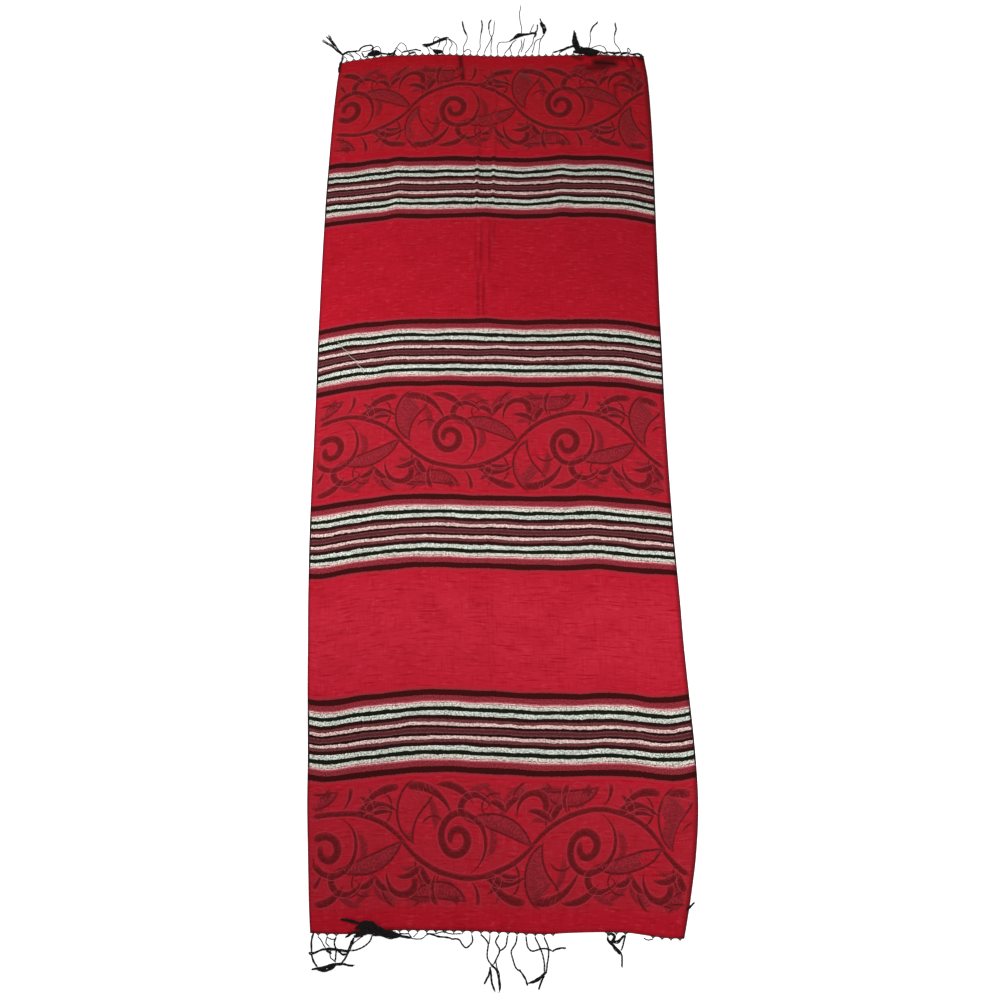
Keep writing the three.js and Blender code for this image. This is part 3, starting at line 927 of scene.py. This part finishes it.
# Each thread: its kind, and the x and y of each place that it runs through.
FAR_THREADS = (
    ("tuft", -338, 900, -358, 918, -376, 933, -389, 941),
    ("tuft", -337, 901, -353, 921, -366, 941, -373, 958),
    ("cord", -358, 925, -372, 944, -379, 952),
    ("braid", -344, 852, -342, 872, -338, 889, -336, 900),
    ("braid", -339, 899, -325, 908, -312, 910, -299, 911),
    ("cord", -303, 910, -294, 921, -276, 927, -269, 921, -271, 909, -269, 897),
    ("strand", -296, 909, -278, 913, -271, 921),
    ("strand", -336, 898, -327, 885),
    ("strand", -330, 904, -316, 887),
    ("strand", -323, 907, -308, 888),
    ("strand", -310, 909, -298, 897, -295, 888),
    ("cord", -295, 906, -288, 894, -281, 891),
    ("lump", -279, 892, -266, 900, -255, 903, -244, 897),
    ("lump", -274, 897, -262, 904, -251, 901),
    ("braid", -256, 903, -241, 903, -231, 902, -222, 906, -217, 917),
    ("rope", -236, 900, -226, 901, -218, 908),
    ("strand", -219, 918, -207, 933, -197, 927, -192, 915, -189, 903),
    ("strand", -268, 921, -260, 924, -253, 918, -250, 903),
    ("strand", -217, 921, -207, 912, -204, 901),
    ("cord", -196, 901, -187, 912, -175, 915, -162, 912, -157, 903),
    ("rope", -193, 901, -184, 904, -174, 910),
    ("braid", -155, 924, -143, 925, -128, 932, -113, 940, -98, 946),
    ("braid", -158, 928, -143, 928, -128, 935, -113, 943, -96, 950),
    ("strand", -148, 924, -142, 905),
    ("strand", -140, 922, -134, 915, -127, 905),
    ("strand", -132, 930, -133, 941, -127, 950, -119, 947, -118, 935, -123, 921),
    ("lump", -132, 913, -124, 906, -115, 900),
    ("strand", -102, 944, -103, 933, -108, 921, -109, 904),
    ("strand", -98, 944, -89, 930, -95, 918, -94, 904),
    ("strand", -98, 946, -83, 933, -78, 918, -78, 903),
    ("strand", -63, 903, -63, 921, -55, 952, -65, 977, -67, 995),
    ("cord", -57, 956, -62, 968, -65, 980, -67, 995),
    ("strand", -61, 906, -53, 916, -46, 912, -45, 903),
    ("strand", -30, 904, -26, 921, -25, 953, -21, 968, -23, 995),
    ("cord", -24, 960, -21, 972, -23, 998),
    ("strand", 3, 903, 0, 930, 1, 947, -5, 965, -6, 983, -1, 995),
    ("cord", -6, 972, -5, 986, 0, 998),
    ("strand", -11, 904, -7, 930, 1, 947, 6, 971, 7, 997),
    ("strand", 16, 903, 14, 924, 19, 935, 40, 937, 50, 943),
    ("rope", 42, 938, 55, 946, 67, 954, 84, 958),
    ("lump", 50, 944, 63, 952, 76, 955),
    ("braid", 72, 955, 84, 957, 94, 959, 103, 959),
    ("rope", 102, 966, 102, 959, 99, 949),
    ("strand", 35, 903, 42, 922, 52, 937, 58, 943),
    ("strand", 48, 903, 43, 921, 47, 930),
    ("strand", 64, 903, 69, 927, 68, 944),
    ("strand", 68, 909, 74, 930, 76, 947),
    ("strand", 80, 903, 92, 927, 98, 950, 102, 959),
    ("strand", 92, 903, 102, 938, 114, 947, 119, 956),
    ("strand", 69, 957, 69, 980, 65, 1002, 68, 1040),
    ("strand", 88, 963, 99, 986),
    ("cord", 102, 960, 105, 971, 106, 985),
    ("strand", 111, 903, 110, 930, 115, 947, 120, 955, 120, 965),
    ("lump", 121, 958, 121, 968, 118, 979, 113, 990),
    ("cord", 119, 980, 112, 1002),
    ("cord", 134, 908, 158, 913, 173, 919, 190, 929),
    ("rope", 155, 907, 173, 918, 192, 926),
    ("lump", 190, 962, 192, 942, 197, 920, 206, 904),
    ("lump", 189, 948, 190, 930, 194, 912),
    ("rope", 190, 968, 191, 952, 192, 932),
    ("lump", 185, 926, 198, 918, 214, 910),
    ("lump", 184, 908, 206, 911, 228, 911, 250, 905),
    ("lump", 190, 902, 212, 904, 236, 904, 256, 900),
    ("lump", 205, 900, 226, 900, 244, 899),
    ("rope", 246, 900, 257, 904, 265, 899),
    ("rope", 272, 899, 281, 904, 290, 898),
    ("rope", 292, 899, 298, 903, 304, 897),
    ("rope", 311, 896, 322, 901, 333, 902, 342, 897, 346, 882),
    ("strand", 229, 921, 245, 925, 258, 921, 266, 905),
    ("strand", 222, 918, 227, 944, 228, 968, 245, 991),
    ("cord", 227, 964, 236, 980, 247, 993),
    ("strand", 299, 906, 290, 921, 282, 935, 281, 947, 285, 962, 285, 988),
    ("cord", 283, 956, 286, 972, 285, 991),
    ("strand", 305, 905, 312, 919, 317, 912, 316, 903),
    ("strand", 318, 891, 321, 880, 325, 868),
)
NEAR_THREADS = (
    ("cord", -302, -904, -304, -922, -304, -938),
    ("rope", -308, -938, -299, -938),
    ("cord", -304, -938, -300, -948, -291, -961),
    ("rope", -302, -963, -289, -961, -266, -956, -244, -954),
    ("lump", -291, -962, -275, -961, -260, -954),
    ("cord", -251, -955, -241, -956, -228, -957),
    ("cord", -303, -938, -292, -935, -279, -931),
    ("rope", -285, -933, -271, -930, -252, -934, -234, -934),
    ("rope", -234, -907, -235, -921, -238, -931, -243, -941),
    ("cord", -241, -938, -247, -948, -251, -953),
    ("strand", -294, -905, -288, -917, -282, -928, -279, -931),
    ("strand", -285, -906, -279, -921, -273, -928),
    ("strand", -278, -907, -272, -916, -265, -917, -255, -907),
    ("ply", -265, -907, -265, -921, -261, -932, -262, -940, -262, -952),
    ("strand", -220, -906, -231, -921, -238, -931),
    ("ply", -204, -906, -204, -919, -214, -928, -225, -932, -238, -934),
    ("strand", -271, -931, -270, -945, -261, -952),
    ("cord", -278, -933, -269, -939),
    ("cord", -258, -935, -250, -940, -243, -939),
    ("rope", -256, -885, -241, -886, -219, -892),
    ("lump", -230, -899, -211, -895, -194, -899, -174, -905),
    ("lump", -226, -903, -205, -902, -186, -905, -158, -909),
    ("lump", -223, -892, -209, -891, -194, -898, -178, -904),
    ("rope", -242, -911, -230, -905, -214, -902),
    ("rope", -186, -904, -164, -907, -149, -911, -129, -915),
    ("rope", -201, -908, -182, -910, -166, -913, -150, -912),
    ("strand", -133, -915, -116, -916, -105, -909, -97, -904),
    ("strand", -132, -914, -130, -904),
    ("strand", -129, -913, -120, -904),
    ("strand", -147, -911, -139, -904),
    ("cord", -100, -908, -81, -912, -61, -916),
    ("ply", -64, -916, -51, -917, -45, -924, -37, -929, -28, -921, -24, -905),
    ("strand", -91, -905, -76, -905, -66, -907, -43, -904),
    ("ply", -13, -906, -6, -915, 0, -924, -2, -945, 6, -956),
    ("strand", 2, -906, 1, -924),
    ("ply", 15, -906, 13, -920, 19, -934, 13, -949, 8, -956),
    ("ply", 32, -907, 29, -927, 19, -935),
    ("strand", 13, -949, 16, -963),
    ("cord", 4, -959, 0, -972, -7, -988),
    ("cord", 3, -961, 6, -979, 11, -998),
    ("rope", 4, -954, 15, -966, 20, -984, 18, -999),
    ("ply", 48, -906, 47, -923, 39, -936, 44, -952, 49, -962, 56, -966),
    ("cord", 53, -963, 63, -977, 68, -989),
    ("ply", 63, -906, 67, -927, 76, -934, 92, -931, 105, -932, 113, -936),
    ("cord", 110, -935, 124, -930, 135, -930),
    ("ply", 77, -906, 87, -927, 94, -941, 96, -970),
    ("ply", 95, -906, 103, -930, 100, -963, 96, -970),
    ("rope", 100, -966, 86, -977, 68, -984),
    ("cord", 95, -972, 90, -984, 85, -994),
    ("rope", 200, -905, 211, -908, 217, -912, 212, -920, 206, -917, 211, -908),
    ("rope", 236, -904, 233, -912, 224, -919, 208, -920),
    ("cord", 208, -919, 218, -927, 227, -938, 229, -950, 229, -964),
    ("rope", 206, -918, 217, -930, 228, -940),
    ("ply", 234, -906, 228, -934),
    ("strand", 272, -908, 275, -918, 286, -917),
    ("cord", 344, -870, 359, -858),
)


def yarn_rings(path, radius, along):
    """The rings of a round yarn along a path in mm, and the places around and along it."""
    ahead = unit(np.gradient(path, axis=0))
    beside = unit(np.cross(ahead, (0, 0, 1)))
    above = np.cross(beside, ahead)
    turn = np.linspace(0, math.tau, YARN_SIDES, endpoint=False)
    ring = beside[:, None] * np.cos(turn)[:, None] + above[:, None] * np.sin(turn)[:, None]
    rings = (path[:, None] + ring * radius[:, None, None]) * MM
    return rings, np.stack(np.broadcast_arrays(turn / math.tau, along[:, None] * MM), -1)


class Fringe(Swept):
    """The yarns of one fringe, on the far (1) or the near (-1) side."""

    def __init__(self, side, roots_from, fan_out, seed):
        super().__init__()
        self.side, self.roots_from, self.fan_out = side, roots_from, fan_out
        self.rng = np.random.default_rng(seed)
        (left,), (right,) = selvedges([side * HALF_LENGTH])
        self.first = math.ceil((left + 4 - roots_from) / ROOT_PITCH)
        self.last = math.floor((right - 4 - roots_from) / ROOT_PITCH)

    def end_y(self, x):
        """The y of the cloth's end at x, in mm."""
        left, right = selvedges([self.side * HALF_LENGTH])
        u = np.clip((x - left) / (right - left), 0, 1)
        return through(WEFT_U, WEFT_Y[-1 if self.side > 0 else 0], u)

    def ground(self, x, y):
        """Height of what lies under a point: the floor, or the cloth's upper face."""
        inside = self.side * (self.end_y(x) - y)
        s = self.side * (HALF_LENGTH - np.clip(inside, 0, 200))
        left, right = selvedges(s)
        u = (x - left) / (right - left)
        beside = smoothstep(np.minimum(x - left, right - x), -1.5, 0.5)
        lifted = lie(np.clip(u, 0, 1), s)[:, 2] / MM
        return smoothstep(inside, 0, 2.5) * beside * (lifted + CLOTH_WALL)

    def snap(self, x, y):
        """An end that meets the cloth's edge goes to the tip of the nearest root."""
        out = self.side * (y - self.end_y(x)[0])
        number = min(max(round((x - self.roots_from) / ROOT_PITCH), self.first), self.last)
        root = self.roots_from + number * ROOT_PITCH
        if SNAP_FROM < out < SNAP_TO and abs(root - x) < SNAP_ASIDE:
            return root, self.end_y(root)[0] + self.side * self.fan_out
        return x, y

    def thread(self, kind, *route):
        """A thread of twisted yarns, through the places whose x and y follow each other."""
        count, spread, radius, swell = THREADS[kind]
        route = np.array(route, float).reshape(-1, 2)
        route[0] = self.snap(*route[0])
        route[-1] = self.snap(*route[-1])
        run = np.append(0, np.cumsum(np.linalg.norm(np.diff(route, axis=0), axis=1)))
        steps = max(4, int(run[-1] / YARN_STEP))
        at = np.linspace(0, run[-1], steps + 1)
        x, y = (through(run, route[:, k], at) for k in (0, 1))
        share = at / run[-1]
        sway = smoothstep(share, 0, 0.15) * (1 - smoothstep(share, 0.85, 1))
        wave = self.rng.uniform(0, math.tau, 2)
        x = x + SWAY * sway * np.sin(at / 5.1 + wave[0])
        y = y + SWAY * sway * np.sin(at / 6.3 + wave[1])
        shape = {
            "even": np.ones_like(share),
            "swollen": 0.3 + 0.7 * np.sin(math.pi * np.clip(share, 0.02, 0.98)) ** 0.7,
            "flared": 0.25 + 0.75 * share**0.8,
        }[swell]
        floor = self.ground(x, y)
        hop = self.rng.uniform(*HOP) * np.sin(math.pi * share) ** 2
        beside = across_of(np.stack([x, y], 1))
        frayed = spread > 1
        for k in range(count):
            turn = math.tau * k / count + at / (2.2 + 1.6 * spread) + self.rng.uniform(-0.4, 0.4)
            loose = self.rng.uniform(*SLACK) if frayed else 1.0
            off = spread * shape * loose
            px = x + beside[:, 0] * off * np.cos(turn)
            py = y + beside[:, 1] * off * np.cos(turn)
            height = np.maximum(off * (0.75 + 0.6 * np.sin(turn)), 0)
            pz = floor + radius + 0.1 + height + hop
            thin = radius * (0.35 + 0.65 * smoothstep(1 - share, 0, 0.12))
            first = int(self.rng.uniform(0, MISSING[0]) * steps) if frayed else 0
            last = steps + 1 - (int(self.rng.uniform(0, MISSING[1]) * steps) if frayed else 0)
            if last - first > 3:
                path = np.stack([px, py, pz], 1)[first:last]
                self.yarn(path, thin[first:last], at[first:last])

    def fan(self, x):
        """The fine ends of warp that draw together at one root."""
        tip_y = self.end_y(x)[0] + self.side * self.fan_out
        way = np.linspace(0, 1, FAN_STEPS)
        radius = np.full(FAN_STEPS, FAN_RADIUS)
        for aside in np.linspace(-1, 1, FAN_ENDS):
            start_y = self.end_y(x + aside * FAN_HALF)[0] - self.side * 1.2
            px = x + aside * FAN_HALF * (1 - way) ** 2.4
            py = start_y + (tip_y - start_y) * way
            pz = 0.7 + 0.25 * np.cos(aside * 3) + 0.3 * way
            self.yarn(np.stack([px, py, pz], 1), radius, way * self.fan_out)

    def yarn(self, path, radius, along):
        rings, pairs = yarn_rings(path, radius, along)
        self.add(rings, yarn=pairs)


def fringe_material():
    n = Nodes("fringe_thread")
    around, along = n.uv("yarn")
    ply = n.math("ADD", n.times(along, 5200.0), n.times(around, math.tau))
    fuzz = n.noise((along, around), 900.0, 6.0, detail=1.0)
    colour = n.mix(n.range(fuzz, 0.45, 0.8), rgb(14, 12, 13), rgb(44, 34, 34))
    normal = n.bump(n.math("SINE", ply), 0.0002, 0.6)
    return n.cloth(colour, 0.7, normal, sheen=0.05)


def make_fringes():
    """Both fringes: name, CAD node, side, threads, first root, reach of the roots, bare, seed."""
    black = fringe_material()
    pieces = []
    for name, node, side, threads, roots_from, fan_out, bare, seed in (
        ("fringe_far", "fringe_top", 1, FAR_THREADS, -63, 7.0, (), 11),
        ("fringe_near", "fringe_bottom", -1, NEAR_THREADS, -13, 4.5, NEAR_BARE, 12),
    ):
        fringe = Fringe(side, roots_from, fan_out, seed)
        for k in range(fringe.first, fringe.last + 1):
            x = roots_from + k * ROOT_PITCH
            if not any(low < x < high for low, high in bare):
                fringe.fan(x)
        for row in threads:
            fringe.thread(*row)
        pieces.append(fringe.piece(name, [black], "fringe_thread", node))
    return pieces


# ---- a pulled thread

PULLED_STEPS, PULLED_RADIUS, PULLED_LIFT = 60, 0.55, 1.2
PULLED = ((0.058, 227), (0.077, 209), (0.098, 190), (0.118, 171), (0.137, 150))


def make_pulled_thread():
    """A pale weft yarn that has been drawn out over a striped band."""
    u, s = np.array(PULLED).T
    run = np.append(0, np.cumsum(np.hypot(np.diff(u) * FLAT_WIDTH, np.diff(s))))
    at = np.linspace(0, run[-1], PULLED_STEPS)
    across, along = through(run, u, at), through(run, s, at)
    path = lie(across + 0.0015 * np.sin(at / 4), along, CLOTH_WALL + PULLED_LIFT) / MM
    rings, pairs = yarn_rings(path, np.full(PULLED_STEPS, PULLED_RADIUS), at)
    thread = Swept()
    thread.add(rings, flat=pairs)
    pale = boucle_material("pulled_thread", rgb(200, 196, 186), rgb(140, 136, 128), 0.5)
    return thread.piece("pulled_thread", [pale], "pale_thread")


# ---- stage, lights and camera


def plain_material(name, colour, roughness, glow):
    n = Nodes(name)
    shader = n.add("ShaderNodeBsdfPrincipled", {"Base Color": colour, "Roughness": roughness})
    shader.inputs["Emission Color"].default_value = (1, 1, 1, 1)
    shader.inputs["Emission Strength"].default_value = glow
    return n.finished(shader)


def make_stage():
    half = 8.0
    below = -0.0004
    corners = [(-half, -half, below), (half, -half, below), (half, half, below), (-half, half, below)]
    floor = mesh_object("floor", corners, [(0, 1, 2, 3)])
    floor.data.materials.append(plain_material("floor", (0.9, 0.9, 0.9, 1), 0.9, glow=0.6))

    world = bpy.data.worlds.new("studio")
    world.use_nodes = True
    world.node_tree.nodes["Background"].inputs[0].default_value = (1, 1, 1, 1)
    world.node_tree.nodes["Background"].inputs[1].default_value = 0.4
    bpy.context.scene.world = world
    bpy.context.scene.view_settings.view_transform = "Standard"

    for name, place, size, power in (
        ("left", (-0.6, 0.1, 1.05), 0.5, 11.0),
        ("right", (0.6, -0.45, 1.05), 0.5, 8.5),
    ):
        light = bpy.data.lights.new(name, "AREA")
        light.energy, light.size = power, size
        lamp = bpy.data.objects.new(name, light)
        lamp.location = place
        lamp.visible_camera = False
        bpy.context.scene.collection.objects.link(lamp)


def make_camera():
    """The camera looks down steeply from the near end."""
    tilt = math.radians(13.2)
    target, distance = Vector((0.020, -0.139, 0)), 1.4706
    data = bpy.data.cameras.new("camera")
    data.lens, data.sensor_width = 27, 36
    camera = bpy.data.objects.new("camera", data)
    camera.location = target + distance * Vector((0, -math.sin(tilt), math.cos(tilt)))
    camera.rotation_euler = (tilt, 0, 0)
    bpy.context.scene.collection.objects.link(camera)
    bpy.context.scene.camera = camera


make_camera()
make_stage()
cloth = make_cloth()
yarns = [boucle_material(f"boucle_{y}", *BOUCLE_YARNS[y], FLECKED) for y in BOUCLE_YARNS]
trims = [make_boucle(i + 1, centre, yarns) for i, centre in enumerate(BANDS)]
trims += make_figures()
trims += make_fringes()
trims.append(make_pulled_thread())
